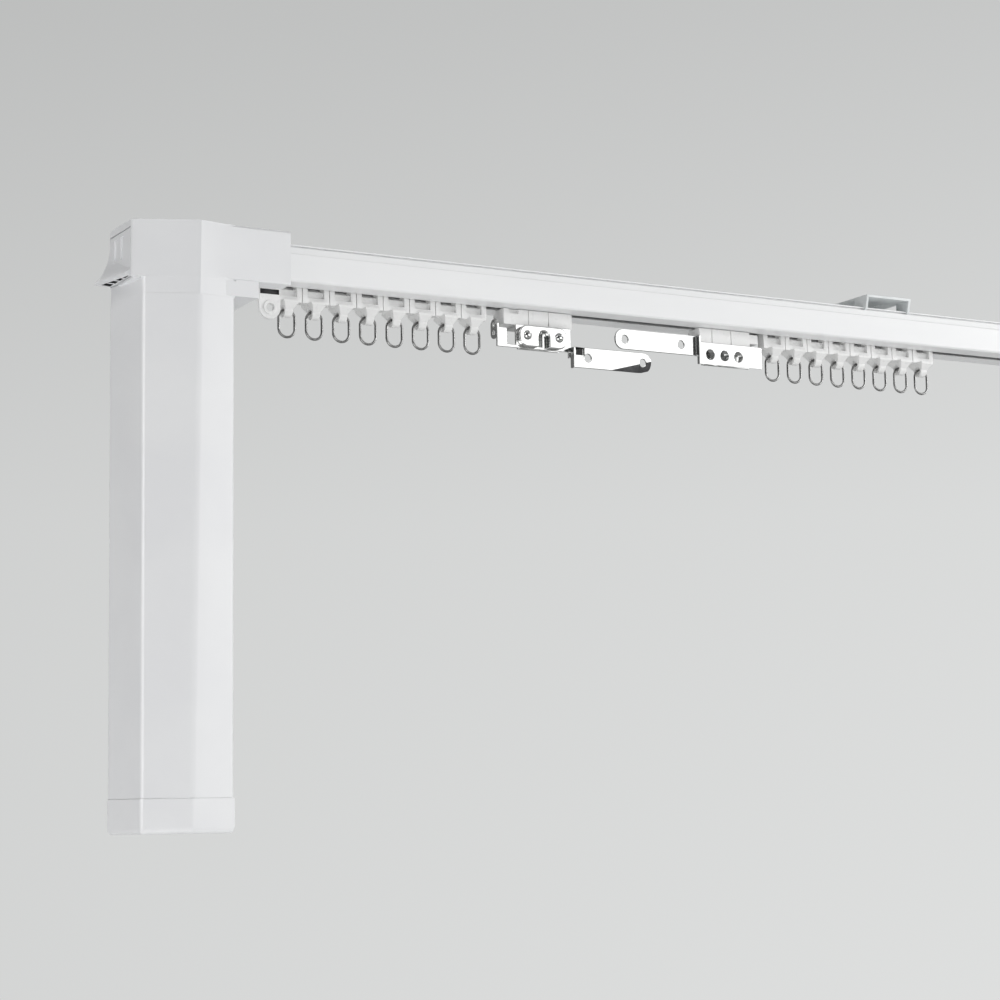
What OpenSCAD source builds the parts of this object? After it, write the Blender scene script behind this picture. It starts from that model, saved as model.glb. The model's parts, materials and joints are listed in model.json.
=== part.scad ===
// Electric curtain track: ceiling rail, plug-in motor, belt drive, overlap carriers and ring runners.
// Frame: X runs along the rail away from the motor, Y points to the wall behind, Z is up.
// The origin is on the ceiling face of the first bracket. All sizes are in millimetres.

/* [Rail] */
// Length of the rail extrusion
rail_len = 1128; // [1120:1:1400]
// Width of the rail
rail_w = 32; // [31.4:0.1:34]
// Height of the rail
rail_h = 18.6; // [18.2:0.1:20]
// Wall of the rail
rail_t = 1.4; // [1.2:0.1:1.5]
// Width of the runner slot in the underside
slot_w = 6.6; // [6.2:0.1:7]

/* [Motor] */
// Width of the motor along the rail
motor_w = 50; // [48:0.5:54]
// Distance from the rail's centre line to the motor's flat back
motor_back = 22.4; // [21.8:0.1:25]
// Length of the motor casing
casing_len = 240.5; // [225:0.5:300]
// Height of the bottom cap
cap_len = 16.5; // [14:0.5:22]
// Wall of the mouldings
shell_t = 2; // [1.6:0.1:2.4]

/* [Drive head] */
// Height of the head above the top of the rail
head_rise = 5.4; // [4.8:0.1:6.4]
// Length of the sleeve that grips the rail
sleeve_len = 29; // [28:0.5:36]
// Wall of the sleeve beside the rail
sleeve_t = 3.6; // [3:0.1:4]

/* [Belt] */
// Radius from the pulley axis to the middle of the belt
belt_r = 11; // [10.8:0.1:11.2]
// Thickness of the belt
belt_t = 1.4; // [1.2:0.1:1.6]
// Width of the belt
belt_w = 6; // [5:0.5:6.5]

/* [Runners] */
// Distance from one runner to the next when they are pushed together
runner_pitch = 15; // [14.8:0.1:15.4]
// Outer width of a wire ring
ring_w = 10; // [9.6:0.1:11]
// Outer height of a wire ring
ring_h = 15.2; // [14:0.1:18]
// Wire thickness of a ring
ring_wire = 1.3; // [1.1:0.1:1.4]

/* [Carriers] */
// Thickness of the steel plates
plate_t = 1.2; // [1:0.1:1.4]
// Height of an overlap arm
arm_h = 11; // [10:0.1:12]

/* [Brackets] */
// Length of a bracket along the rail
bracket_len = 31; // [28:0.5:40]
// Distance between the two brackets
bracket_pitch = 600; // [500:5:620]
// Radius of a ceiling screw hole
screw_hole_r = 2.3; // [2:0.1:2.6]

/* [Fits] */
// Clearance between sliding pieces
gap = 0.3; // [0.3:0.05:0.4]
// Radial running clearance of a shaft
fit = 0.05; // [0.02:0.01:0.08]

/* [Hidden] */
per_side = 8;

// Positions along the rail, counted from the motor's left face
bar_w = runner_pitch - 0.4;
first_left = motor_w + 35.3;
flange_x = first_left + (per_side - 1) * runner_pitch + 11.3;
left_x0 = flange_x + 4.8;
left_x1 = left_x0 + 41.2;
clip_x0 = flange_x + 11.7;
clip_x1 = clip_x0 + 29.1;
arm_x0 = flange_x + 43.1;
arm_x1 = arm_x0 + 48.3;
back_arm_x = arm_x0 + 31.2;
right_x0 = left_x1 + 81.2;
right_x1 = right_x0 + 33.2;
right_web_x1 = right_x1 + 7;
first_right = right_web_x1 + 11.8;
rivet_xs = [clip_x0 + 4.8, clip_x0 + 24];
rail_x0 = motor_w + 2;
rail_x1 = rail_x0 + rail_len;
far_margin = 130;
bracket_at = rail_x1 - far_margin - bracket_pitch;
axis_x = motor_w / 2;
idler_x = rail_x1 + 14;
far_stop_x = rail_x1 - 49;
near_stop_x = first_left - bar_w / 2 - 6.1;
sleeve_x1 = motor_w + sleeve_len;
sleeve_y = rail_w / 2 + sleeve_t;
// Heights, counted from the underside of the rail
ceiling_z = rail_h + 7;
lip_z = rail_h - 0.7;
band_z = rail_h - 4.8;
head_top = rail_h + head_rise;
head_z0 = -4;
base_z0 = -12;
casing_z0 = base_z0 - casing_len;
cap_z0 = casing_z0 - cap_len;
ledge_z = rail_t;
shoe_z = ledge_z + gap;
belt_z0 = 6.5;
belt_z1 = belt_z0 + belt_w;
pulley_r = belt_r - belt_t / 2 - 0.35;
// Plan of the motor column: the front-left facet, then the front-right facet
corner_y = -10.3;
facet_slope = -0.39;
// How far the motor's left side leans in per millimetre towards the front
side_lean = 0.144;
ridge_top_x = motor_w * 0.618;
prow_slope = 0.19;
prow_tilt = 0.43;
// Runner channel
lane_y = 7.7;
shoe_y = lane_y - 0.5;
neck_y = slot_w / 2 - 0.5;
eye_z = -11.4;
eye_r = 2;
lug_z = -15.1;
ring_r = (ring_w - ring_wire) / 2;
ring_top = eye_z + 0.4;
ring_leg = ring_h - ring_wire - 2 * ring_r;
// Steel plates of the two carriers
web_y = -5.6;
carrier_z = -8.5;
web_z = -21;
arm_y = -12;
arm_top = -18.8;
back_arm_y = -3.6;
back_arm_top = -4.7;
right_web_z = -20.5;
clip_z0 = -20.4;
clip_z1 = -9;
clip_t = 3;
rivet_z = -14.4;
rivet_r = 1.9;
// Button in the bottom cap
button_r = 3;
button_at = [axis_x, -6];
floor_t = 2.5;
socket_size = [16, 9];
socket_at = [axis_x, 11];
// Latch
hinge_x = 2.2;
hinge_z = rail_h - 0.1;
latch_y0 = corner_y + 2.1;
latch_y1 = motor_back - shell_t - 0.3;
latch_top = hinge_z + 1.6;
latch_z0 = -3.5;
lip_out = 7.4;

function two(k) = k < 10 ? str("0", k) : str(k);
function numbered(word, k) = str(word, "_", two(k));
function unit(v) = v / norm(v);
function arc_points(c, r, a0, turn, n) =
    [for (k = [0:n]) c + r * [cos(a0 + turn * k / n), sin(a0 + turn * k / n)]];
function short_turn(d) = d > 180 ? d - 360 : d < -180 ? d + 360 : d;
function rounded_corner(a, p, b, r, n) =
    let (u = unit(a - p), w = unit(b - p), half = acos(u * w) / 2)
    let (c = p + unit(u + w) * r / sin(half), s = p + u * r / tan(half) - c, e = p + w * r / tan(half) - c)
    let (a0 = atan2(s[1], s[0]), a1 = atan2(e[1], e[0]))
    r <= 0 ? [p] : arc_points(c, r, a0, short_turn(a1 - a0), n);
function rounded(pts, radii, n = 8) =
    let (m = len(pts))
    [for (i = [0:m - 1]) each rounded_corner(pts[(i + m - 1) % m], pts[i], pts[(i + 1) % m], radii[i], n)];
function flipped(pts) = [for (i = [len(pts) - 1:-1:0]) [-pts[i][0], pts[i][1]]];
function backwards(pts) = [for (i = [len(pts) - 1:-1:0]) pts[i]];
function box_points(x0, x1, y0, y1) = [[x0, y0], [x1, y0], [x1, y1], [x0, y1]];
function left_at(k) = first_left + (k - 1) * runner_pitch;
function right_at(k) = first_right + (k - 1 - per_side) * runner_pitch;
function runner_at(k) = k > per_side ? right_at(k) : left_at(k);

// Moves from the rail's own zero (motor face, rail underside) to the origin on the ceiling
module placed() {
    translate([-bracket_at, 0, -ceiling_z])
        children();
}

module block(x, y, z) {
    translate([x[0], y[0], z[0]])
        cube([x[1] - x[0], y[1] - y[0], z[1] - z[0]]);
}

// Extrudes a drawing of Y and Z along X
module along_x(x0, x1) {
    translate([x0, 0, 0])
        rotate([90, 0, 90])
            linear_extrude(x1 - x0)
                children();
}

// Extrudes a drawing of X and Z along Y
module along_y(y0, y1) {
    translate([0, y1, 0])
        rotate([90, 0, 0])
            linear_extrude(y1 - y0)
                children();
}

module post(x, y, z, r, facets = 48) {
    translate([x, y, z[0]])
        cylinder(h = z[1] - z[0], r = r, $fn = facets);
}

module cross_hole(x, y, z, r) {
    translate([x, y[1], z])
        rotate([90, 0, 0])
            cylinder(h = y[1] - y[0], r = r, $fn = 48);
}

// The motor's boat-shaped column between two heights, made smaller by an inset, with its left side leaning in
module column(z0, z1, inset = 0, side = 0) {
    lean = sqrt(1 + facet_slope * facet_slope);
    side_inset = inset * sqrt(1 + side * side);
    x0 = ((motor_back - corner_y - inset * lean) * side + side_inset) / (1 + side * facet_slope);
    x1 = motor_w - inset;
    y_back = motor_back - inset;
    x_back = inset * side + side_inset;
    y_left = corner_y + facet_slope * x0 + inset * lean;
    y_far = corner_y + facet_slope * x1 + inset * lean;
    soft = max(1.5, 3 - inset);
    hard = max(0.8, 3 - inset);
    ridge_y = corner_y + facet_slope * ridge_top_x;
    plan = [[x0, y_left], [x1, y_far], [x1, y_back], [x_back, y_back]];
    difference() {
        translate([0, 0, z0])
            linear_extrude(z1 - z0)
                polygon(rounded(plan, [soft, 0, hard, hard]));
        translate([ridge_top_x, ridge_y, head_top])
            rotate([0, 0, atan(prow_slope)])
                rotate([prow_tilt, 0, 0])
                    translate([-150, inset - 100, -600])
                        cube([300, 100, 900]);
    }
}

module track_rail() {
    w = rail_w / 2;
    s = slot_w / 2;
    inner_w = w - rail_t;
    inner_z = rail_h - 2.6;
    outside = [
        [s, 0], [w - 0.8, 0], [w, 0.8], [w, band_z], [w - 0.2, band_z + 0.2], [w - 0.35, lip_z - 0.8],
        [w - 1.7, lip_z - 0.8], [w - 1.7, lip_z], [w - 0.3, lip_z], [w - 0.3, rail_h],
        [w - 4.5, rail_h], [w - 4.5, rail_h - 1.2]
    ];
    inside = [
        [s, 0.4], [s + 1.1, ledge_z], [lane_y, ledge_z], [lane_y, ledge_z + 1.8], [lane_y + 0.9, ledge_z + 1.8],
        [lane_y + 0.9, ledge_z], [inner_w, ledge_z], [inner_w, inner_z], [lane_y + 1.5, inner_z],
        [lane_y + 1.5, inner_z - 1.8], [lane_y + 0.7, inner_z - 1.8], [lane_y + 0.7, inner_z]
    ];
    left_inside = [for (p = inside) [-p[0], p[1]]];
    color("white")
        along_x(rail_x0, rail_x1)
            polygon(concat(outside, flipped(outside), left_inside, backwards(inside)));
}

function belt_loop(r) =
    let (bend = r - 0.01)
    rounded(box_points(axis_x - r, idler_x + r, -r, r), [bend, bend, bend, bend], 12);

module drive_belt() {
    color("dimgray")
        translate([0, 0, belt_z0])
            linear_extrude(belt_w)
                difference() {
                    polygon(belt_loop(belt_r + belt_t / 2));
                    polygon(belt_loop(belt_r - belt_t / 2));
                }
}

module bracket(x) {
    w = rail_w / 2;
    foot = w + 0.7;
    reach = w + 2.6;
    jaw_end = 7;
    jaw = [
        [reach, ceiling_z - 0.7], [foot, lip_z - 0.7], [w - 1.5, lip_z - 0.7], [w - 1.5, lip_z],
        [w - 0.3, lip_z], [w - 0.3, rail_h], [jaw_end, rail_h], [jaw_end, ceiling_z - 0.7]
    ];
    x0 = x - bracket_len / 2;
    x1 = x + bracket_len / 2;
    wall = 1.4;
    plate = 1.4;
    difference() {
        union() {
            block([x0, x1], [-reach, reach], [ceiling_z - plate, ceiling_z]);
            for (wall_x = [x0, x1 - wall])
                along_x(wall_x, wall_x + wall) {
                    polygon(jaw);
                    polygon(flipped(jaw));
                }
        }
        for (hole_x = [x - 7, x + 7])
            post(hole_x, 0, [ceiling_z - 3, ceiling_z + 1], screw_hole_r);
    }
}

module ceiling_brackets() {
    color("silver") {
        bracket(bracket_at);
        bracket(bracket_at + bracket_pitch);
    }
}

// Stop: a shoe and a neck in the slot, and a tab in front with a rubber window and an eyelet
module end_stop(x) {
    half = 5.3;
    tab_x = x + 2;
    tab_half = 5.75;
    tab_y = [-5.5, -3.6];
    hole_z = -11.8;
    difference() {
        union() {
            block([x - half, x + half], [-shoe_y, shoe_y], [ledge_z, ledge_z + 3.2]);
            block([x - half, x + half + 0.5], [-neck_y, neck_y], [-6.8, ledge_z + 1]);
            block([x - half, x + half + 0.5], [tab_y[1] - 0.5, neck_y], [-6.8, -0.6]);
            block([tab_x - tab_half, tab_x + tab_half], tab_y, [hole_z, -0.6]);
            cross_hole(tab_x, tab_y, hole_z, tab_half + 0.02);
            cross_hole(tab_x, [tab_y[0] - 0.6, tab_y[0] + 0.5], hole_z, 3.5);
        }
        block([tab_x - tab_half + 0.6, tab_x + tab_half - 0.7], [tab_y[0] - 1, tab_y[0] + 1.1], [-5.1, -2.6]);
        cross_hole(tab_x, [tab_y[0] - 2, tab_y[1] + 2], hole_z, 2.1);
    }
}

module end_stops() {
    color("whitesmoke") {
        end_stop(near_stop_x);
        end_stop(far_stop_x);
    }
}

// Sleeve that closes round the end of the rail and leaves the slot free below
module sleeve(x0, x1, free_x, top) {
    soft = [0.8, 0.8, 1.5, 1.5];
    difference() {
        along_x(x0, x1)
            polygon(rounded(box_points(-sleeve_y, sleeve_y, -3, top), soft, 4));
        block([x0 - 40, x1 + 40], [-rail_w / 2, rail_w / 2], [0, rail_h]);
        block([free_x[0], free_x[1]], [-9, 9], [-4, 1]);
    }
}

module head_housing() {
    color("white")
        difference() {
            union() {
                difference() {
                    union() {
                        column(head_z0, head_top);
                        sleeve(motor_w - 6, sleeve_x1, [motor_w + 12, sleeve_x1 + 1], head_top);
                    }
                    column(head_z0 - 1, head_top - shell_t, shell_t);
                    block([axis_x, motor_w + 6], [-rail_w / 2, rail_w / 2], [0, rail_h]);
                    block([-1, shell_t + 1], [latch_y0 - gap, latch_y1 + gap], [head_z0 - 1, latch_top + 0.8]);
                }
                post(axis_x, 0, [belt_z1 + 2.9, head_top - shell_t + 0.5], 6);
                for (y = [[latch_y0 - gap - 1.9, latch_y0 - gap], [latch_y1 + gap, latch_y1 + 1.5]])
                    block([shell_t - 0.7, hinge_x + 3], y, [hinge_z - 3, head_top - shell_t + 0.5]);
            }
            post(axis_x, 0, [belt_z1, head_top - shell_t - 1], 3 + fit);
            cross_hole(hinge_x, [latch_y0 - gap - 1.5, latch_y0], hinge_z, 1.2 + fit);
            cross_hole(hinge_x, [latch_y1, latch_y1 + gap + 0.9], hinge_z, 1.2 + fit);
        }
}

module head_base() {
    w = sleeve_y - 0.2;
    color("white")
        difference() {
            union() {
                column(base_z0, head_z0, 0.12, side_lean);
                block([0.6, 9], [-10, 10], [head_z0 - 1, head_z0]);
                block([motor_w - 5, motor_w + 12], [-w, w], [base_z0 + 0.8, head_z0]);
                block([motor_w, motor_w + 12], [-w, w], [head_z0 - 0.5, -3]);
            }
            post(axis_x, 0, [base_z0 + 2, head_z0 + 1], 9);
            post(axis_x, 0, [base_z0 - 1, head_z0 + 1], 6.5);
        }
}

module shaft_bearing() {
    color("lightgray")
        difference() {
            post(axis_x, 0, [base_z0 + 2, head_z0 - 1], 9);
            post(axis_x, 0, [base_z0 + 1, head_z0], 5 + fit);
        }
}

module release_latch() {
    lip_x = [1.8 - lip_out, 8];
    lip = [
        [2, 14.5], [0, 14.5], [-0.7, 10.5], [-1.9, 6.5], [-3.6, 2.5], [-5.6, -0.6], [-lip_out, -2.3],
        [-lip_out, latch_z0], [2, latch_z0]
    ];
    grooves = [[1.6, 5.6], [9.4, 14.2]];
    color("white") {
        difference() {
            union() {
                block([0, 2], [latch_y0, latch_y1], [latch_z0, latch_top]);
                intersection() {
                    block([-10, 2], [latch_y0, latch_y1], [latch_z0, latch_top]);
                    translate([0, latch_y1, 0])
                        rotate([0, 0, 10])
                            along_y(-40, 2)
                                polygon(lip);
                }
                block([1, 4.2], [2, 10], [latch_z0, latch_z0 + 2]);
            }
            for (g = grooves)
                block([-8, 0.8], g, [7, latch_top - 2]);
            intersection() {
                block([-10, -0.3], [latch_y0, latch_y1], [latch_z0 - 1, latch_z0 + 2.8]);
                translate([0, latch_y1, 0])
                    rotate([0, 0, 10])
                        for (k = [0:3])
                            block(lip_x, [-6.4 - 6.8 * k, -1.4 - 6.8 * k], [latch_z0 - 1, latch_z0 + 3]);
            }
        }
        for (lug_y = [[latch_y0, latch_y0 + 2.4], [latch_y1 - 2.4, latch_y1]])
            block([1, hinge_x + 1.2], lug_y, [hinge_z - 1.4, hinge_z + 1.2]);
        cross_hole(hinge_x, [latch_y0 - gap - 1.1, latch_y0 + 1], hinge_z, 1.2);
        cross_hole(hinge_x, [latch_y1 - 1, latch_y1 + gap + 0.6], hinge_z, 1.2);
    }
}

module toothed_wheel(x, r) {
    difference() {
        union() {
            post(x, 0, [belt_z0 - 0.8, belt_z1 + 0.8], r);
            post(x, 0, [belt_z0 - 1.9, belt_z0 - 0.7], r + 1.9);
            post(x, 0, [belt_z1 + 0.7, belt_z1 + 1.9], r + 1.9);
        }
        for (a = [0:20:340])
            translate([x + (r + 0.2) * cos(a), (r + 0.2) * sin(a), belt_z0 - 0.7])
                cylinder(h = belt_w + 1.4, r = 0.9, $fn = 24);
    }
}

module drive_pulley() {
    color("gainsboro")
        difference() {
            union() {
                toothed_wheel(axis_x, pulley_r);
                post(axis_x, 0, [belt_z1 + 1, head_top - shell_t - 1.3], 3);
                post(axis_x, 0, [-2, belt_z0], 6);
            }
            post(axis_x, 0, [-3, belt_z0 - 1], 3.6, 6);
        }
}

module output_spindle() {
    color("silver")
        union() {
            post(axis_x, 0, [base_z0 - 26, -2], 5);
            post(axis_x, 0, [-2.5, belt_z0 - 1.2], 3.5, 6);
        }
}

module gearbox() {
    z0 = base_z0 - 46;
    color("darkgray")
        difference() {
            union() {
                post(axis_x, 0, [z0, base_z0], 15.2);
                post(axis_x, 0, [base_z0 - 4, base_z0], 15.9);
            }
            post(axis_x, 0, [base_z0 - 26.3, base_z0 + 1], 5 + fit);
            post(axis_x, 0, [z0 - 1, z0 + 14], 3 + fit);
        }
}

module motor_can() {
    z1 = base_z0 - 46;
    z0 = z1 - 70;
    color("dimgray")
        difference() {
            post(axis_x, 0, [z0, z1], 15.9);
            post(axis_x, 0, [z0 + 4, z1 - 3], 14);
            post(axis_x, 0, [z0 + 1, z1 + 1], 3 + fit);
        }
}

module motor_rotor() {
    z1 = base_z0 - 46;
    z0 = z1 - 70;
    color("peru")
        union() {
            post(axis_x, 0, [z0 + 1.3, z1 + 13.5], 3);
            post(axis_x, 0, [z0 + 10, z1 - 12], 10);
            post(axis_x, 0, [z0 + 6, z0 + 10.5], 7);
        }
}

module control_board() {
    y1 = motor_back - shell_t;
    z0 = casing_z0 + 8;
    z1 = casing_z0 + min(100, casing_len - 124);
    color("seagreen") {
        block([axis_x - 17, axis_x + 17], [y1 - 1.6, y1], [z0, z1]);
        block([axis_x - 12, axis_x + 2], [y1 - 14, y1 - 1.5], [z0 + 8, z0 + 26]);
        block([axis_x + 5, axis_x + 14], [y1 - 4, y1 - 1.5], [z0 + 10, z0 + 24]);
        block([axis_x - 8, axis_x + 8], [y1 - 3.2, y1 - 1.5], [z1 - 30, z1 - 14]);
        for (x = [-10, 10])
            translate([axis_x + x, y1 - 1.5, z0 + 46])
                rotate([90, 0, 0])
                    cylinder(h = 12, r = 5, $fn = 32);
    }
}

module motor_casing() {
    color("white")
        difference() {
            column(casing_z0, base_z0, 0, side_lean);
            column(casing_z0 - 1, base_z0 + 1, shell_t, side_lean);
        }
}

module motor_cap() {
    color("white")
        difference() {
            hull() {
                column(cap_z0 + 3, casing_z0, -0.4, side_lean);
                column(cap_z0 + 0.8, cap_z0 + 2, 0.2, side_lean);
                column(cap_z0, cap_z0 + 1, 1.6, side_lean);
            }
            column(cap_z0 + floor_t, casing_z0 + 1, shell_t, side_lean);
            post(button_at[0], button_at[1], [cap_z0 - 1, cap_z0 + floor_t + 1], button_r + gap);
            translate([socket_at[0] - socket_size[0] / 2, socket_at[1] - socket_size[1] / 2, cap_z0 - 1])
                cube([socket_size[0], socket_size[1], floor_t + 2]);
        }
}

module power_socket() {
    x = socket_at[0];
    y = socket_at[1];
    hx = socket_size[0] / 2;
    hy = socket_size[1] / 2;
    rim_z = cap_z0 + floor_t;
    color("dimgray")
        difference() {
            union() {
                block([x - hx, x + hx], [y - hy, y + hy], [cap_z0 + 0.3, rim_z + 0.5]);
                block([x - hx - 1.5, x + hx + 1.5], [y - hy - 1, y + hy + 1], [rim_z, rim_z + 8]);
            }
            block([x - hx + 1.6, x + hx - 1.6], [y - hy + 1.6, y + hy - 1.6], [cap_z0, cap_z0 + 7]);
        }
    color("gold")
        for (k = [-1.5:1:1.5])
            post(x + 3 * k, y, [cap_z0 + 4.7, cap_z0 + 7.5], 0.5, 24);
}

module set_button() {
    color("lightgray")
        union() {
            post(button_at[0], button_at[1], [cap_z0, cap_z0 + floor_t + 1], button_r);
            post(button_at[0], button_at[1], [cap_z0 + floor_t + gap, cap_z0 + floor_t + 2], button_r + 1.4);
        }
}

module idler_housing() {
    x0 = rail_x1 - 26;
    x1 = idler_x + 16;
    color("white")
        difference() {
            along_x(x0, x1)
                polygon(rounded(box_points(-sleeve_y, sleeve_y, -3, rail_h + 3), [0.8, 0.8, 1.5, 1.5], 4));
            block([x0 - 1, x1 - 2], [-rail_w / 2, rail_w / 2], [0, rail_h]);
            block([x0 - 1, rail_x1 - 8], [-9, 9], [-4, 1]);
        }
}

module idler_axle() {
    color("silver")
        post(idler_x, 0, [0, rail_h], 2.5);
}

module idler_pulley() {
    color("gainsboro")
        difference() {
            toothed_wheel(idler_x, pulley_r);
            post(idler_x, 0, [belt_z0 - 3, belt_z1 + 3], 2.5 + fit);
        }
}

module clamp_screw(x) {
    y = sleeve_y;
    difference() {
        cross_hole(x, [y, y + 1.2], rail_h / 2, 2.8);
        block([x - 2, x + 2], [y + 0.5, y + 2], [rail_h / 2 - 0.4, rail_h / 2 + 0.4]);
    }
}

module clamp_screws() {
    color("silver")
        for (x = [motor_w + 9, motor_w + 21, rail_x1 - 19, rail_x1 - 7])
            clamp_screw(x);
}

// One side of a carrier's grip on the belt, on the side given by the sign
module belt_grip(x0, x1, side) {
    inner = belt_r - belt_t / 2 - gap;
    outer = belt_r + belt_t / 2 + gap;
    floor_z = [ledge_z + 1.8 + gap, belt_z0 - gap];
    top_z = belt_z1 - 0.5;
    walls = [[inner - 1.3, inner, top_z], [outer, outer + 1.2, top_z], [0, outer + 1.2, floor_z[1]]];
    for (y = walls)
        block([x0, x1], side > 0 ? [y[0], y[1]] : [-y[1], -y[0]], [floor_z[0], y[2]]);
}

module carrier_head(x0, x1, side) {
    mid = (x0 + x1) / 2;
    block([x0 + 0.6, x1 - 0.6], [-shoe_y, shoe_y], [shoe_z, ledge_z + 4.4]);
    belt_grip(mid - 9, mid + 9, side);
    block([x0 + 2.4, x1 - 2.4], [-neck_y, neck_y], [-1, shoe_z + 1]);
}

module left_carrier() {
    color("white")
        difference() {
            union() {
                carrier_head(left_x0, left_x1, -1);
                block([left_x0, left_x1], [web_y, -web_y], [carrier_z, -gap]);
            }
            for (x = [left_x0 + 14.8, left_x0 + 27])
                block([x - 0.25, x + 0.25], [web_y - 1, web_y + 0.7], [carrier_z - 1, 0]);
            block([left_x0 + 3, left_x0 + 9], [web_y - 1, web_y + 1.6], [-2.6, 0]);
        }
}

// A slot between two places along the rail, open below and arched at the top
module arched_slot(slot_x, y, z0) {
    slot_r = (slot_x[1] - slot_x[0]) / 2;
    arch_z = -11.6 - slot_r;
    block(slot_x, y, [z0, arch_z]);
    cross_hole((slot_x[0] + slot_x[1]) / 2, y, arch_z, slot_r - 0.01);
}

module left_hanger() {
    y0 = web_y - plate_t;
    web_top = carrier_z - plate_t;
    x1 = arm_x0 + plate_t;
    strip_x1 = flange_x + 5.8;
    end_flange = rounded(box_points(y0, 0.4, web_z + 4.4, carrier_z + 2.4), [0, 3, 3, 3], 6);
    arm_bottom = arm_top - arm_h;
    arm_mid = arm_top - arm_h / 2;
    arm = rounded(box_points(arm_x0, arm_x1, arm_bottom, arm_top), [0.6, 5, 5, 0.6], 8);
    slant_x = arm_x0 + 8;
    slant = [[arm_x0, y0], [slant_x, arm_y], [slant_x, arm_y + plate_t], [arm_x0, web_y]];
    tip_rise = 14.5;
    tip_back = 14;
    tip_len = 26;
    color("silver")
        difference() {
            union() {
                block([clip_x0 - 0.6, x1], [y0, -y0], [web_top, carrier_z]);
                block([left_x0 + 14.5, x1], [-web_y, -y0], [web_z + 2, carrier_z]);
                block([strip_x1, x1], [y0, web_y], [web_z, carrier_z]);
                block([flange_x, strip_x1 + 1], [y0, web_y], [web_z, carrier_z - 2.3]);
                along_x(flange_x, flange_x + plate_t)
                    polygon(end_flange);
                block([arm_x0, x1], [arm_y, web_y], [web_z, arm_top]);
                block([arm_x0, x1], [arm_y, arm_y + 3.6], [arm_bottom, arm_top]);
                translate([0, 0, arm_top - 5.4])
                    linear_extrude(5.4)
                        polygon(slant);
                along_y(arm_y, arm_y + plate_t)
                    polygon(arm);
            }
            block([strip_x1, clip_x0 - 0.6], [y0 - 1, web_y + 1], [web_z + 1.6, carrier_z + 1]);
            block([x1, arm_x0 + 6.4], [arm_y - 1, arm_y + plate_t + 0.01], [arm_top - 4.2, arm_top + 1]);
            translate([arm_x1 - tip_len, arm_y, arm_bottom])
                rotate([0, -tip_rise, 0])
                    rotate([tip_back, 0, 0])
                        translate([-10, -10, -20])
                            cube([60, 10, 20]);
            arched_slot([clip_x0 + 12.9, clip_x0 + 15.3], [y0 - 1, web_y + 1], web_z + 1.4);
            for (x = rivet_xs)
                cross_hole(x, [y0 - 1, web_y + 1], rivet_z, rivet_r + fit);
            for (x = [arm_x0 + 8.7, arm_x1 - 5.3])
                cross_hole(x, [arm_y - 1, arm_y + plate_t + 1], arm_mid, 2.2);
            for (z = [-9.2, -13.4])
                translate([flange_x - 1, -3, z])
                    rotate([0, 90, 0])
                        cylinder(h = plate_t + 2, r = 1.2, $fn = 32);
        }
}

module left_clip_plate() {
    y1 = web_y - plate_t;
    y0 = y1 - clip_t;
    outline = rounded(box_points(clip_x0, clip_x1, clip_z0, clip_z1), [5, 5, 5, 5], 8);
    color("silver")
        difference() {
            along_y(y0, y1)
                polygon(outline);
            arched_slot([clip_x0 + 11.6, clip_x0 + 18], [y0 - 1, y1 + 1], clip_z0 - 1);
            for (x = rivet_xs)
                cross_hole(x, [y0 - 1, y1 + 1], rivet_z, rivet_r + fit);
        }
}

// Domed rivets that hold the clip plate on the pressing
module left_rivets() {
    y1 = web_y - plate_t - clip_t;
    dome_h = 1;
    dome_r = (rivet_r * rivet_r + dome_h * dome_h) / (2 * dome_h);
    color("silver")
        for (x = rivet_xs) {
            cross_hole(x, [y1, web_y + 0.1], rivet_z, rivet_r);
            cross_hole(x, [web_y, web_y + 0.5], rivet_z, rivet_r + 0.6);
            intersection() {
                translate([x, y1 + dome_r - dome_h, rivet_z])
                    sphere(r = dome_r, $fn = 48);
                block([x - 3, x + 3], [y1 - 2, y1 + 0.05], [rivet_z - 3, rivet_z + 3]);
            }
        }
}

module right_carrier() {
    color("white")
        difference() {
            union() {
                carrier_head(right_x0, right_x1, 1);
                block([right_x0, right_x1], [web_y, -web_y], [carrier_z, -gap]);
                block([right_x1 - 1, right_web_x1 - 0.5], [-4, 4], [carrier_z + 2.2, -1]);
            }
            for (x = [right_x0 + 8.2, right_x0 + 20.8])
                block([x - 0.25, x + 0.25], [web_y - 1, web_y + 0.7], [carrier_z - 1, 0]);
        }
}

module right_hanger() {
    y0 = web_y - plate_t;
    web_top = carrier_z - plate_t;
    jog = [right_x0 - 1.2, right_x0 - 1.2 + plate_t];
    arm_bottom = back_arm_top - arm_h;
    arm = rounded(box_points(back_arm_x, jog[1], arm_bottom, back_arm_top), [5, 0.6, 0.6, 5], 8);
    arm_mid = back_arm_top - arm_h / 2;
    hole_xs = [right_x0 + 6, right_x0 + 15.4, right_x0 + 24.6];
    hole_z = -15;
    hole_r = 2.8;
    collar_y = web_y + 3;
    color("silver")
        difference() {
            union() {
                block([right_x0 + 1, right_web_x1], [y0, -y0], [web_top, carrier_z]);
                block([right_x0 + 9, right_web_x1], [-web_y, -y0], [right_web_z + 2, carrier_z]);
                block([jog[0], right_web_x1], [y0, web_y], [right_web_z, carrier_z]);
                block(jog, [y0, back_arm_y + plate_t], [arm_bottom, back_arm_top]);
                block(jog, [y0, web_y + 1], [right_web_z, arm_bottom + 1]);
                for (x = hole_xs)
                    cross_hole(x, [web_y - 0.1, collar_y], hole_z, hole_r + 0.7);
                along_y(back_arm_y, back_arm_y + plate_t)
                    polygon(arm);
            }
            for (x = hole_xs)
                cross_hole(x, [y0 - 1, collar_y + 1], hole_z, hole_r);
            for (x = [back_arm_x + 6, jog[0] - 9.7])
                cross_hole(x, [back_arm_y - 1, back_arm_y + plate_t + 1], arm_mid, 2.2);
        }
}

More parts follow.
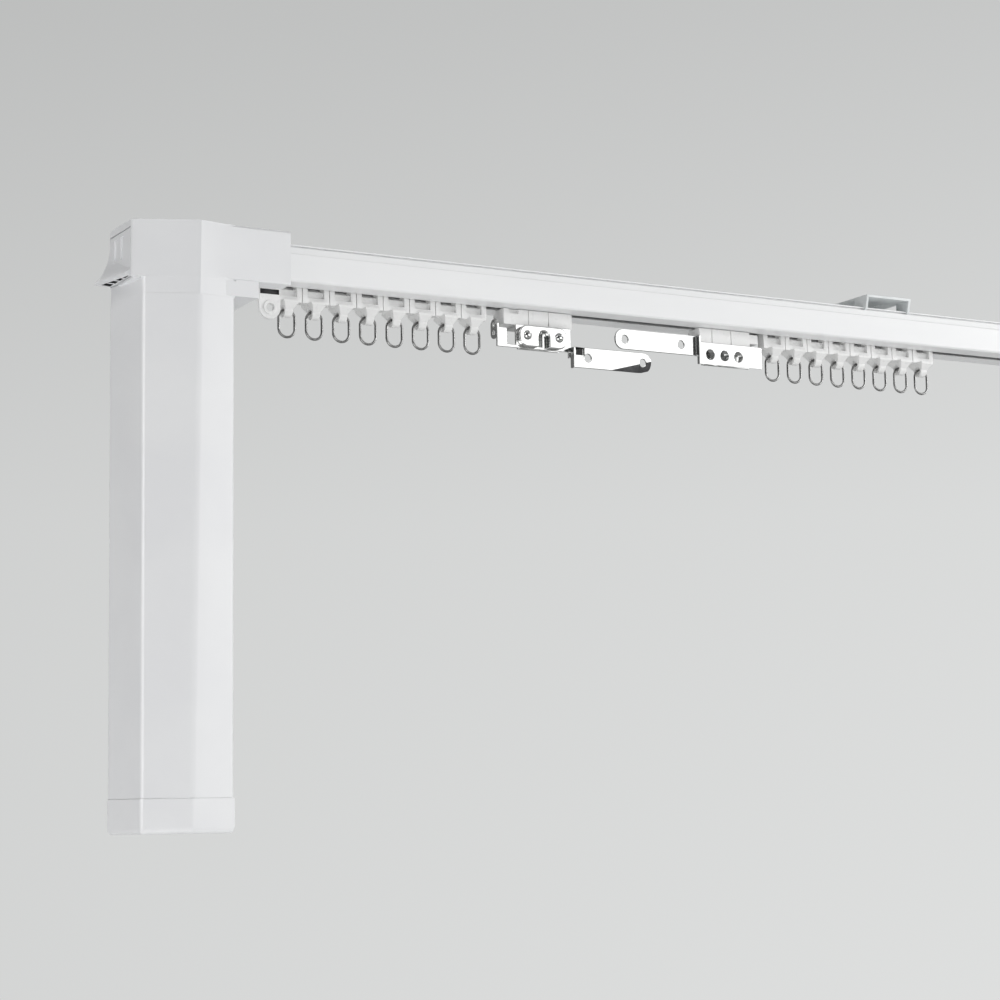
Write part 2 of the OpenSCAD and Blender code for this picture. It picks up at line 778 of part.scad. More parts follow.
// Runner: a shoe in the rail, two posts with a panel between them, a bar and a tapered lug with an eye
module runner(x) {
    half = bar_w / 2;
    lug_front = [[4.3, -7], [4, -8], [2.2, eye_z + 0.4], [2, lug_z - 1]];
    lug_side = [[6.5, -7], [6.5, -8.2], [3.1, eye_z - 0.3]];
    color("white")
        translate([x, 0, 0])
            difference() {
                union() {
                    block([0.5 - half, half - 0.5], [-shoe_y, shoe_y], [shoe_z, ledge_z + 3.5]);
                    for (px = [[-half, 2.8 - half], [half - 2.8, half]])
                        block(px, [-neck_y, neck_y], [-6, shoe_z + 1]);
                    block([-half, half], [-neck_y, neck_y], [-7.4, -4.6]);
                    block([1 - half, half - 1], [-1.2, 1.2], [-6, -1]);
                    intersection() {
                        along_y(-8, 8)
                            polygon(concat(lug_front, flipped(lug_front)));
                        union() {
                            along_x(-6, 6)
                                polygon(concat(lug_side, flipped(lug_side)));
                            translate([-6, 0, eye_z - 0.4])
                                rotate([0, 90, 0])
                                    cylinder(h = 12, r = -lug_z + eye_z - 0.4, $fn = 48);
                        }
                    }
                }
                translate([-10, 0, eye_z])
                    rotate([0, 90, 0])
                        cylinder(h = 20, r = eye_r, $fn = 48);
            }
}

// Oval wire ring that hangs in the eye of a runner
module ring(x) {
    wire = ring_wire / 2;
    z1 = ring_top - ring_r;
    z0 = z1 - ring_leg;
    color("silver")
        translate([x, 0, 0])
            union() {
                for (side = [-1, 1])
                    translate([side * ring_r, 0, z0])
                        cylinder(h = ring_leg, r = wire, $fn = 32);
                for (bend = [[z1, 0], [z0, 180]])
                    translate([0, 0, bend[0]])
                        rotate([90, bend[1], 0])
                            rotate_extrude(angle = 180, $fn = 48)
                                translate([ring_r, 0])
                                    circle(r = wire, $fn = 32);
            }
}

placed() {
    track_rail();
    drive_belt();
    ceiling_brackets();
    end_stops();
    head_housing();
    head_base();
    shaft_bearing();
    release_latch();
    drive_pulley();
    output_spindle();
    gearbox();
    motor_can();
    motor_rotor();
    control_board();
    motor_casing();
    motor_cap();
    power_socket();
    set_button();
    idler_housing();
    idler_axle();
    idler_pulley();
    clamp_screws();
    left_carrier();
    left_hanger();
    left_clip_plate();
    left_rivets();
    right_carrier();
    right_hanger();
    for (k = [1:2 * per_side])
        runner(runner_at(k));
    for (k = [1:2 * per_side])
        ring(runner_at(k));
}
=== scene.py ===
# %% [markdown]
# # An electric curtain track
# A white rail hangs from the ceiling on grey clips. A motor with a faceted casing hangs from the drive head
# at its left end, and runners with wire rings and two steel overlap arms hang from the slot underneath.
# The solid model comes in first, as a fixed frame: every piece below is made around it, in the same metres.

# %% Load the solid model
import json
import math
import bmesh
import bpy
from mathutils import Matrix, Vector


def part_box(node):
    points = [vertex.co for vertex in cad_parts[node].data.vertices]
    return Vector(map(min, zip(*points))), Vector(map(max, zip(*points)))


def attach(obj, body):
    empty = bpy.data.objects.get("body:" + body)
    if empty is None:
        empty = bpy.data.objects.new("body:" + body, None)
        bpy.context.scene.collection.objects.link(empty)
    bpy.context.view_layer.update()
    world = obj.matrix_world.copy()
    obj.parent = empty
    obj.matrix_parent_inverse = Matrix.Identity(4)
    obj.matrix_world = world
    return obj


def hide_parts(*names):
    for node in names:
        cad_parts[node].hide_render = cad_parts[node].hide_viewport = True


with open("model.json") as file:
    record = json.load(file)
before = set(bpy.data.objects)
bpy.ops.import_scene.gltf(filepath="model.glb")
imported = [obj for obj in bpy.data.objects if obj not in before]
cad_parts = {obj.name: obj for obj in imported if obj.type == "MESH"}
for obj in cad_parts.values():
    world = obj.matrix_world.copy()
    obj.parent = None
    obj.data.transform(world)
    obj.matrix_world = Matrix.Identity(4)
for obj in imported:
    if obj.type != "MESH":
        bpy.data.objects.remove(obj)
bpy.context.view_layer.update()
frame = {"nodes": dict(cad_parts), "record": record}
nodes = frame["nodes"]
body_of_node = {n: b for b, members in frame["record"]["behaviour"]["bodies"].items() for n in members}
slot_of_node = {s["node"]: s["material_slot"] for s in frame["record"]["subparts"]}

# %% [markdown]
# ## Camera
# The picture is taken from the left, in front and a little below, with a long lens, so the rail runs away to
# the right. A camera can be aimed with a constraint, but here its three angles are known, so its axes are
# worked out and put straight into its matrix.

# %% Camera
HEADING, TILT, ROLL = math.radians(29.2), math.radians(7.44), math.radians(-0.9)
PLACE = Vector((-0.8473, -1.0787, -0.2877))
SENSOR_MM, LENS_MM = 36, 86.6
ahead = Vector((math.sin(HEADING) * math.cos(TILT), math.cos(HEADING) * math.cos(TILT), math.sin(TILT)))
level = Vector((math.cos(HEADING), -math.sin(HEADING), 0))
over = level.cross(ahead)
right = level * math.cos(ROLL) + over * math.sin(ROLL)
top = over * math.cos(ROLL) - level * math.sin(ROLL)
camera = bpy.data.objects.new("camera", bpy.data.cameras.new("camera"))
bpy.context.scene.collection.objects.link(camera)
axes = Matrix((right, top, -ahead)).transposed()
camera.matrix_world = Matrix.Translation(PLACE) @ axes.to_4x4()
camera.data.sensor_width, camera.data.lens = SENSOR_MM, LENS_MM
camera.data.clip_start = 0.05
bpy.context.scene.camera = camera
print("camera at", [round(v, 3) for v in camera.location])

# %% [markdown]
# ## Studio
# The track was shot in front of a pale grey sweep that gets a little darker towards the top. A far floor, a
# soft grey sky for the sweep and a few large soft boxes do the same. The soft box in front on the right is
# the main one: it lights the facets that look that way and is what the steel plates mirror. A tall strip on
# the left makes the bright line on the motor's front left corner. It shines on the motor's shells alone, since
# the rims of the steel plates, which would mirror it too, are dark in the picture.

# %% Sky and colour
scene = bpy.context.scene
scene.view_settings.view_transform = "Standard"
sky = bpy.data.worlds.new("sweep")
scene.world = sky
sky.use_nodes = True
tree = sky.node_tree
background = tree.nodes["Background"]
where = tree.nodes.new("ShaderNodeTexCoord")
split = tree.nodes.new("ShaderNodeSeparateXYZ")
tree.links.new(where.outputs["Generated"], split.inputs[0])
height = tree.nodes.new("ShaderNodeMapRange")
height.inputs["From Min"].default_value, height.inputs["From Max"].default_value = -0.1, 0.9
tree.links.new(split.outputs["Z"], height.inputs["Value"])
shade = tree.nodes.new("ShaderNodeValToRGB")
tree.links.new(height.outputs["Result"], shade.inputs["Fac"])
stops = [(0.0, 0.70), (0.22, 0.665), (0.42, 0.545), (1.0, 0.30)]
while len(shade.color_ramp.elements) < len(stops):
    shade.color_ramp.elements.new(0.5)
for element, (place, grey) in zip(shade.color_ramp.elements, stops):
    element.position = place
    element.color = (grey, grey * 1.012, grey * 1.006, 1)


def fade(axis, start, end, low, high):
    """A brightness that goes from low to high between two values of a direction's X or Y."""
    node = tree.nodes.new("ShaderNodeMapRange")
    for socket, value in zip(("From Min", "From Max", "To Min", "To Max"), (start, end, low, high)):
        node.inputs[socket].default_value = value
    tree.links.new(split.outputs[axis], node.inputs["Value"])
    return node.outputs["Result"]


def product(a, b):
    """Two brightnesses multiplied."""
    node = tree.nodes.new("ShaderNodeMath")
    node.operation = "MULTIPLY"
    tree.links.new(a, node.inputs[0])
    tree.links.new(b, node.inputs[1])
    return node.outputs[0]


dark_room = product(fade("X", -0.45, 0.24, 0.3, 1), fade("Y", -0.3, 0.45, 0.4, 1))
strength = product(fade("X", 0.2, 0.8, 0.92, 1.09), dark_room)
tree.links.new(shade.outputs["Color"], background.inputs["Color"])
tree.links.new(strength, background.inputs["Strength"])
print("sky with", len(stops), "shades")

# %% Floor and soft boxes
FLOOR_RADIUS, FLOOR_Z = 9, -1.7
floor_mesh = bpy.data.meshes.new("floor")
ground = bmesh.new()
bmesh.ops.create_circle(ground, cap_ends=True, radius=FLOOR_RADIUS, segments=96)
bmesh.ops.translate(ground, verts=ground.verts, vec=(0, 0, FLOOR_Z))
ground.to_mesh(floor_mesh)
ground.free()
floor = bpy.data.objects.new("floor", floor_mesh)
scene.collection.objects.link(floor)


def soft_box(name, place, target, wide, tall, watts):
    """A flat light that looks from one place to another and stays out of the camera's sight."""
    light = bpy.data.lights.new(name, "AREA")
    light.shape, light.size, light.size_y, light.energy = "RECTANGLE", wide, tall, watts
    box = bpy.data.objects.new(name, light)
    scene.collection.objects.link(box)
    turn = (Vector(target) - Vector(place)).to_track_quat("-Z", "Y")
    box.matrix_world = Matrix.Translation(place) @ turn.to_matrix().to_4x4()
    box.visible_camera = False


# Each light's name, place, target, width, height and watts
LIGHTS = [
    ("front_right_box", (0.93, -1.75, 0.38), (-0.17, 0, -0.04), 1.0, 0.9, 5.1),
    ("right_box", (1.9, -1.3, 0.2), (0.1, 0, 0), 1, 1, 26.5),
    ("front_left_box", (-0.95, -1.35, -0.95), (-0.4, 0, -0.12), 1.0, 1.0, 10.0),
    ("left_strip", (-2.3, -0.45, -0.3), (-0.42, 0, -0.15), 0.3, 1.5, 4.4),
    ("edge_strip", (-2.29, -0.79, 0.1), (-0.447, -0.012, -0.15), 0.35, 1.3, 36),
    ("left_box", (-1.3, 0.2, -0.75), (-0.42, 0, -0.15), 0.7, 0.7, 2.4),
    ("under_box", (0.75, -0.6, -1.4), (0.3, 0, 0), 1.2, 1.2, 2.9),
    ("behind_box", (0.2, 1.9, 1.3), (0.1, 0, -0.1), 1.6, 1.6, 14),
    ("high_left_box", (-2.0, -1.0, 1.5), (-0.1, 0, 0), 1.2, 1.2, 14),
]
for light in LIGHTS:
    soft_box(*light)
scene.objects["edge_strip"].visible_diffuse = False
scene.objects["under_box"].visible_glossy = False

# %% [markdown]
# ## Finishes
# Each finish is a set of shader nodes on the object's own coordinates, so it stays put when a piece moves.
# A picture of the surface could be wrapped round the piece instead, but these finishes are grains, brush
# lines and peel, which noise makes at any size without seams.

# %% Helpers for the finishes
finishes = {}


def new_finish(name, **fixed):
    """A material with its shader's fixed values set by name, and the object's coordinates ready."""
    made = bpy.data.materials.new(name)
    made.use_nodes = True
    shader = made.node_tree.nodes["Principled BSDF"]
    for socket, value in fixed.items():
        shader.inputs[socket.replace("_", " ")].default_value = value
    finishes[name] = made
    return made.node_tree, shader


def grain(tree, size, stretch=(1, 1, 1), detail=3.0):
    """Noise whose features are about size metres across, longer where stretch is below one."""
    place = tree.nodes.new("ShaderNodeTexCoord")
    mapping = tree.nodes.new("ShaderNodeMapping")
    mapping.inputs["Scale"].default_value = stretch
    noise = tree.nodes.new("ShaderNodeTexNoise")
    noise.inputs["Scale"].default_value = 1 / size
    noise.inputs["Detail"].default_value = detail
    tree.links.new(place.outputs["Object"], mapping.inputs["Vector"])
    tree.links.new(mapping.outputs["Vector"], noise.inputs["Vector"])
    return noise.outputs["Fac"]


def spread(tree, value, low, high, shader):
    """Maps noise, which stays near the middle, to a range of roughness."""
    span = tree.nodes.new("ShaderNodeMapRange")
    span.inputs["From Min"].default_value, span.inputs["From Max"].default_value = 0.3, 0.7
    span.inputs["To Min"].default_value, span.inputs["To Max"].default_value = low, high
    tree.links.new(value, span.inputs["Value"])
    tree.links.new(span.outputs["Result"], shader.inputs["Roughness"])


def tint(tree, value, low, high, shader):
    """Mixes two colours by noise into the base colour."""
    ramp = tree.nodes.new("ShaderNodeValToRGB")
    ramp.color_ramp.elements[0].position, ramp.color_ramp.elements[1].position = 0.35, 0.65
    ramp.color_ramp.elements[0].color, ramp.color_ramp.elements[1].color = (*low, 1), (*high, 1)
    tree.links.new(value, ramp.inputs["Fac"])
    tree.links.new(ramp.outputs["Color"], shader.inputs["Base Color"])


def relief(tree, value, depth, shader):
    """Turns noise into small dents and bumps of a real depth in metres."""
    bump = tree.nodes.new("ShaderNodeBump")
    bump.inputs["Strength"].default_value, bump.inputs["Distance"].default_value = 0.6, depth
    tree.links.new(value, bump.inputs["Height"])
    tree.links.new(bump.outputs["Normal"], shader.inputs["Normal"])


print("helpers ready")

# %% [markdown]
# ### White mouldings
# The motor's casing and head are injection moulded: a clean white with a fine spark texture from the tool
# and a half gloss. The runners and carriers are a slicker white plastic with a faint warm tone.

# %% White mouldings
tree, shader = new_finish("motor_white", IOR=1.48)
tint(tree, grain(tree, 0.05), (0.845, 0.85, 0.865), (0.875, 0.88, 0.89), shader)
spread(tree, grain(tree, 0.004), 0.34, 0.46, shader)
relief(tree, grain(tree, 0.0005, detail=2), 0.00003, shader)
tree, shader = new_finish("white_plastic", IOR=1.5)
tint(tree, grain(tree, 0.02), (0.85, 0.85, 0.845), (0.89, 0.89, 0.885), shader)
spread(tree, grain(tree, 0.003), 0.24, 0.38, shader)
relief(tree, grain(tree, 0.0008, detail=2), 0.00002, shader)
print("mouldings", list(finishes))

# %% [markdown]
# ### Powder coat
# The rail is an aluminium extrusion with a white powder coat. The coat flows into a fine peel, and the die
# leaves faint straight lines along the rail, so the noise is stretched along X.

# %% Powder coat
tree, shader = new_finish("rail_white", IOR=1.5, Coat_Weight=0.15, Coat_Roughness=0.2)
tint(tree, grain(tree, 0.03, (0.2, 1, 1)), (0.895, 0.9, 0.907), (0.925, 0.93, 0.935), shader)
spread(tree, grain(tree, 0.0015, (0.02, 1, 1)), 0.28, 0.4, shader)
relief(tree, grain(tree, 0.0009, (0.6, 1, 1), 2), 0.00003, shader)
tree, shader = new_finish("bracket_grey", Metallic=0.1)
tint(tree, grain(tree, 0.008), (0.71, 0.74, 0.745), (0.79, 0.815, 0.82), shader)
spread(tree, grain(tree, 0.002, (0.2, 1, 1)), 0.4, 0.55, shader)
relief(tree, grain(tree, 0.0006), 0.00002, shader)
print("coats", list(finishes)[2:])

# %% [markdown]
# ### Bright steel
# The arms, plates and rivets are plated steel. Plating mirrors the room, but the pressing's brush lines stay
# under it, so the gloss changes in narrow streaks along the plate. The rings are drawn wire, which is darker.

# %% Bright steel, the hidden metals and a painted dark reflection
tree, shader = new_finish("steel", Metallic=1.0)
tint(tree, grain(tree, 0.01, (0.3, 1, 1)), (0.60, 0.605, 0.60), (0.70, 0.70, 0.695), shader)
spread(tree, grain(tree, 0.0006, (0.03, 1, 1)), 0.1, 0.2, shader)
relief(tree, grain(tree, 0.0005, (0.03, 1, 1), 2), 0.000006, shader)
for name, low, high, gloss in [
    ("ring_wire", (0.22, 0.22, 0.218), (0.32, 0.32, 0.318), 0.2),
    ("bronze", (0.52, 0.36, 0.16), (0.66, 0.48, 0.25), 0.3),
    ("dark_metal", (0.16, 0.165, 0.17), (0.24, 0.245, 0.25), 0.35),
    # The arm tip's near-black steel is a painted dark reflection.
    ("bare_steel", (0.04, 0.04, 0.042), (0.08, 0.08, 0.082), 0.3),
]:
    tree, shader = new_finish(name, Metallic=0.9)
    tint(tree, grain(tree, 0.006), low, high, shader)
    spread(tree, grain(tree, 0.002), gloss, gloss + 0.15, shader)
    relief(tree, grain(tree, 0.0008), 0.00002, shader)
print("metals", list(finishes)[4:])

# %% [markdown]
# ### Inside the track
# The belt is dark rubber with a woven back. The wheels are pale acetal, the socket and button are grey
# plastic, and the board is green with darker patches where copper lies under the lacquer.

# %% Finishes of the inner pieces
for name, low, high, gloss, dent in [
    ("belt", (0.02, 0.02, 0.022), (0.05, 0.05, 0.052), 0.6, 0.00006),
    ("pulley_plastic", (0.70, 0.70, 0.66), (0.78, 0.78, 0.75), 0.35, 0.00002),
    ("board_green", (0.02, 0.12, 0.05), (0.05, 0.22, 0.10), 0.3, 0.00003),
    ("socket_grey", (0.04, 0.04, 0.043), (0.07, 0.07, 0.073), 0.45, 0.00003),
    ("button_grey", (0.42, 0.42, 0.44), (0.5, 0.5, 0.52), 0.4, 0.00003),
]:
    tree, shader = new_finish(name)
    tint(tree, grain(tree, 0.003), low, high, shader)
    spread(tree, grain(tree, 0.0015), gloss, gloss + 0.15, shader)
    relief(tree, grain(tree, 0.0006), dent, shader)
tree, shader = new_finish("floor_paint")
tint(tree, grain(tree, 0.4), (0.74, 0.745, 0.74), (0.78, 0.785, 0.78), shader)
spread(tree, grain(tree, 0.05), 0.5, 0.7, shader)
floor.data.materials.append(finishes["floor_paint"])
print("finishes", len(finishes))

# %% [markdown]
# ## Solid pieces with eased edges
# A moulding or a pressing never has a knife edge: a small radius catches the light along every corner. The
# solid model's pieces are sharp, so each visible one is copied, its triangles are joined back into whole
# faces, and its sharp edges get a small round with the Bevel modifier. The copy stands for the solid piece.
# The steel pieces have steps of a hundredth of a millimetre where an arch meets a straight side. They are
# joined first, because a round wider than such a step would fold over it.

# %% Dress every solid piece in its finish
for name, piece in nodes.items():
    piece.data.materials.clear()
    piece.data.materials.append(finishes[slot_of_node[name]])
print("dressed", len(nodes), "solid pieces")


# %% Eased copies
FLAT_ANGLE, SHARP_ANGLE, SHADE_ANGLE = math.radians(0.6), math.radians(24), math.radians(38)


def plain_mesh(piece):
    """The piece's mesh with its modifiers worked in, and the modifiers gone."""
    evaluated = piece.evaluated_get(bpy.context.evaluated_depsgraph_get())
    made = bpy.data.meshes.new_from_object(evaluated)
    piece.modifiers.clear()
    piece.data = made


def eased(name, radius, share=None, steps=3, clamp=True, join=2e-6):
    """A copy of a solid piece with its sharp edges rounded, which stands for it."""
    mesh = bpy.data.meshes.new(name + "_eased")
    work = bmesh.new()
    work.from_mesh(nodes[name].data)
    bmesh.ops.remove_doubles(work, verts=work.verts, dist=join)
    bmesh.ops.dissolve_limit(work, angle_limit=FLAT_ANGLE, verts=work.verts, edges=work.edges)
    weight = work.edges.layers.float.new("bevel_weight_edge")
    for edge in work.edges:
        if len(edge.link_faces) == 2 and edge.calc_face_angle() > SHARP_ANGLE:
            edge[weight] = share(edge) if share else 1
    work.to_mesh(mesh)
    work.free()
    mesh.materials.append(finishes[slot_of_node[name]])
    piece = bpy.data.objects.new(name + "_eased", mesh)
    scene.collection.objects.link(piece)
    bevel = piece.modifiers.new("ease", "BEVEL")
    bevel.width, bevel.segments, bevel.limit_method = radius, steps, "WEIGHT"
    bevel.use_clamp_overlap = clamp
    plain_mesh(piece)
    smooth(piece)
    return stand_in(piece, name)


def smooth(piece):
    """Shades a piece smooth but keeps its flat faces flat."""
    piece.data.shade_smooth()
    piece.data.set_sharp_from_angle(angle=SHADE_ANGLE)
    weigh = piece.modifiers.new("weigh", "WEIGHTED_NORMAL")
    weigh.keep_sharp = True
    plain_mesh(piece)


def stand_in(piece, name):
    """The piece replaces a solid piece of the same name and moves with its body."""
    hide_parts(name)
    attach(piece, body_of_node[name])
    return piece


print("helpers ready")

# %% Motor shells
SEAMS = [corner.z for name in ("head_base", "motor_casing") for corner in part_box(name)]
SEAM_SHARE, RIM_SHARE, UPRIGHT = 0.1, 0.4, 0.004


def column_share(edge):
    """The motor's upright ridge is well rounded, its rims less, and the seams between its shells hardly."""
    heights = [corner.co.z for corner in edge.verts]
    if any(max(abs(z - seam) for z in heights) < 0.0001 for seam in SEAMS):
        return SEAM_SHARE
    return 1 if abs(heights[0] - heights[1]) > UPRIGHT else RIM_SHARE


edge_lit = bpy.data.collections.new("edge_lit")
bpy.data.objects["edge_strip"].light_linking.receiver_collection = edge_lit
shells = {"motor_casing": 0.002, "motor_cap": 0.002, "head_housing": 0.0014, "head_base": 0.0014}
for name, radius in shells.items():
    made = eased(name, radius, column_share)
    if name != "head_housing":
        edge_lit.objects.link(made)
    print(made.name, len(made.data.polygons), "faces")

# %% Mouldings, rail and small pieces
radii = {
    "release_latch": 0.0003, "idler_housing": 0.0006, "track_rail": 0.00025, "ceiling_brackets": 0.00035,
    "end_stops": 0.0002, "left_carrier": 0.0004, "right_carrier": 0.0004, "left_rivets": 0.0002,
    "clamp_screws": 0.0002, "power_socket": 0.0002, "set_button": 0.0003,
}
for name, radius in radii.items():
    made = eased(name, radius)
    print(made.name, len(made.data.polygons), "faces")

# %% Steel pressings
# The sloping facet under the low arm's tip, which takes a painted dark reflection.
TIP_FACET_AREA, TIP_FACET_SLOPE = 1e-5, (-0.4, -0.15)


def is_tip_facet(face, area):
    """Whether a face is the sloping one under the low arm's tip."""
    return area > TIP_FACET_AREA and TIP_FACET_SLOPE[0] < face.normal.z < TIP_FACET_SLOPE[1]


def steel_share(edge):
    """Pressed edges are all rounded, but the edges of the sloping tip facet stay sharp."""
    return 0 if any(is_tip_facet(face, face.calc_area()) for face in edge.link_faces) else 1


steel = {"left_hanger": 0.0003, "right_hanger": 0.0003, "left_clip_plate": 0.0007}
for name, radius in steel.items():
    made = eased(name, radius, steel_share, steps=4, clamp=False, join=2.5e-5)
    print(made.name, len(made.data.polygons), "faces")

# %% [markdown]
# ## Dark recesses
# The window in each end stop and the pockets under the latch's lip are given painted shade. Only their inner
# faces show, so these faces take the belt's black rubber finish as painted shade for the dark inside of the
# recesses, and no new piece is needed.

# %% Painted shade in the end stops and the latch
def paint_recess_shade(piece, inside):
    """Paints shade into a recess: the faces whose middle lies inside it take the black rubber finish."""
    piece.data.materials.append(finishes["belt"])
    painted_shade_faces = [face for face in piece.data.polygons if inside(face)]
    for face in painted_shade_faces:
        face.material_index = 1
    print(piece.name, "painted shade faces", len(painted_shade_faces))


WINDOW_Y, WINDOW_Z = (-0.0052, -0.0042), (-0.03085, -0.02805)


def in_stop_window(face):
    """The window is a narrow box at the same depth and height in both stops."""
    y, z = face.center.y, face.center.z
    return WINDOW_Y[0] < y < WINDOW_Y[1] and WINDOW_Z[0] < z < WINDOW_Z[1]


lip_low, lip_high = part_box("release_latch")
LIP_TURN = math.radians(10)
POCKET_DEPTH, POCKET_RISE = (-0.0058, -0.0002), (0.0002, 0.003)
HINGE_SIDE = Vector((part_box("motor_casing")[0].x, lip_high.y - 0.0009))


def in_lip_pocket(face):
    """The lip runs at a small angle to the motor's face, so its pockets are found along the lip's own lines."""
    along = face.center.xy - HINGE_SIDE
    depth = along.x * math.cos(LIP_TURN) + along.y * math.sin(LIP_TURN)
    above = face.center.z - lip_low.z
    wall_or_roof = abs(face.normal.z) < 0.1 or face.normal.z < -0.9
    in_depth = POCKET_DEPTH[0] < depth < POCKET_DEPTH[1]
    return wall_or_roof and in_depth and POCKET_RISE[0] < above < POCKET_RISE[1]


# The end stop windows and the lip's pockets get painted shade in the rubber finish.
paint_recess_shade(bpy.data.objects["end_stops_eased"], in_stop_window)
paint_recess_shade(bpy.data.objects["release_latch_eased"], in_lip_pocket)

# %% [markdown]
# ## Painted dark arm tip
# The low arm's tip is cut away from below, so that the two arms slide past each other without catching. The
# sloping face under the tip is much darker than the rest: it takes a near-black steel finish of its own, which is
# a painted dark reflection.

# %% Painted dark reflection at the arm tip
arms = bpy.data.objects["left_hanger_eased"]
# The tip facet takes the near-black finish as a painted dark reflection.
arms.data.materials.append(finishes["bare_steel"])
reflection_faces = [face for face in arms.data.polygons if is_tip_facet(face, face.area)]
for face in reflection_faces:
    face.material_index = 1
print("painted dark reflection faces", len(reflection_faces))

# %% [markdown]
# ## Runners
# The runners are one moulding used again and again. One is eased, and the others take a copy of its mesh
# moved along the rail, each riding on its own body.

# %% Runners
RUNNERS = ["runner_%02d" % k for k in range(1, 17)]
first = eased(RUNNERS[0], 0.0003)
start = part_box(RUNNERS[0])[0]
for name in RUNNERS[1:]:
    mesh = first.data.copy()
    mesh.transform(Matrix.Translation(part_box(name)[0] - start))
    piece = bpy.data.objects.new(name + "_eased", mesh)
    scene.collection.objects.link(piece)
    stand_in(piece, name)
print("runners", len(RUNNERS), "of", len(first.data.polygons), "faces")

# %% [markdown]
# ## Wire rings
# Each ring is a length of round wire bent into an oval. The oval is a path, so Geometry Nodes draw it as a
# rounded rectangle, sweep a circle along it and stand it up. The sizes are inputs of the tree.

# %% Wire ring tree
def new_tree(name, inputs):
    """An empty tree with a mesh output and named inputs, and its two end nodes."""
    made = bpy.data.node_groups.new(name, "GeometryNodeTree")
    made.interface.new_socket("Geometry", in_out="OUTPUT", socket_type="NodeSocketGeometry")
    for label, kind in inputs.items():
        made.interface.new_socket(label, in_out="INPUT", socket_type="NodeSocket" + kind)
    return made, made.nodes.new("NodeGroupInput"), made.nodes.new("NodeGroupOutput")


def step(tree, kind, links, **settings):
    """Adds a node, sets its options and links what goes into it by name."""
    node = tree.nodes.new(kind)
    for label, value in settings.items():
        setattr(node, label, value)
    for label, value in links.items():
        if isinstance(value, bpy.types.NodeSocket):
            tree.links.new(value, node.inputs[label])
        else:
            node.inputs[label].default_value = value
    return node


def grown(tree, name, values):
    """An object made by a tree with its inputs set, turned into a plain mesh."""
    piece = bpy.data.objects.new(name, bpy.data.meshes.new(name))
    scene.collection.objects.link(piece)
    grow = piece.modifiers.new("grow", "NODES")
    grow.node_group = tree
    for item in tree.interface.items_tree:
        if item.in_out == "INPUT":
            grow[item.identifier] = values[item.name]
    plain_mesh(piece)
    return piece


def maths(tree, operation, a, b):
    """The result of a sum on two numbers or sockets."""
    return step(tree, "ShaderNodeMath", {0: a, 1: b}, operation=operation).outputs[0]


def rounded_loop(tree, width, height, short, steps):
    """A path round a rectangle, its ends bent by just under half of the short side."""
    bend = maths(tree, "MULTIPLY", short, 0.4995)
    loop = step(tree, "GeometryNodeCurvePrimitiveQuadrilateral", {"Width": width, "Height": height})
    links = {"Curve": loop.outputs["Curve"], "Count": steps, "Radius": bend, "Limit Radius": True}
    return step(tree, "GeometryNodeFilletCurve", links, mode="POLY").outputs["Curve"]


def sweep(tree, path, profile):
    """A profile carried along a path."""
    links = {"Curve": path, "Profile Curve": profile.outputs["Curve"]}
    return step(tree, "GeometryNodeCurveToMesh", links).outputs["Mesh"]


def close_tree(tree, geometry, given, result):
    """Ends a tree with real geometry in one finish."""
    real = step(tree, "GeometryNodeRealizeInstances", {"Geometry": geometry})
    links = {"Geometry": real.outputs["Geometry"], "Material": given.outputs["Finish"]}
    done = step(tree, "GeometryNodeSetMaterial", links)
    tree.links.new(done.outputs["Geometry"], result.inputs["Geometry"])


ring_inputs = {"Width": "Float", "Height": "Float", "Wire": "Float", "Centre": "Vector", "Finish": "Material"}
ring_tree, given, result = new_tree("wire ring", ring_inputs)
wanted = given.outputs
across = maths(ring_tree, "SUBTRACT", wanted["Width"], wanted["Wire"])
upright = maths(ring_tree, "SUBTRACT", wanted["Height"], wanted["Wire"])
oval = rounded_loop(ring_tree, across, upright, across, 14)
thick = maths(ring_tree, "MULTIPLY", wanted["Wire"], 0.5)
wire = step(ring_tree, "GeometryNodeCurvePrimitiveCircle", {"Resolution": 16, "Radius": thick})
swept = sweep(ring_tree, oval, wire)
links = {"Geometry": swept, "Translation": wanted["Centre"], "Rotation": (math.pi / 2, 0, 0)}
stood = step(ring_tree, "GeometryNodeTransform", links)
soft = step(ring_tree, "GeometryNodeSetShadeSmooth", {"Geometry": stood.outputs["Geometry"]})
close_tree(ring_tree, soft.outputs["Geometry"], given, result)
print("ring tree", len(ring_tree.nodes), "nodes")

# %% Rings
RINGS = ["ring_%02d" % k for k in range(1, 17)]
for name in RINGS:
    low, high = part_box(name)
    size = high - low
    sizes = {"Width": size.x, "Height": size.z, "Wire": size.y, "Centre": (low + high) / 2}
    sizes["Finish"] = finishes["ring_wire"]
    stand_in(grown(ring_tree, name + "_wire", sizes), name)
print("rings", len(RINGS))

# %% [markdown]
# ## Toothed belt
# The belt runs round the wheel in the head and the one at the far end. It is a band along a path with a tooth
# every few millimetres on its inside, which Geometry Nodes place along the same path.

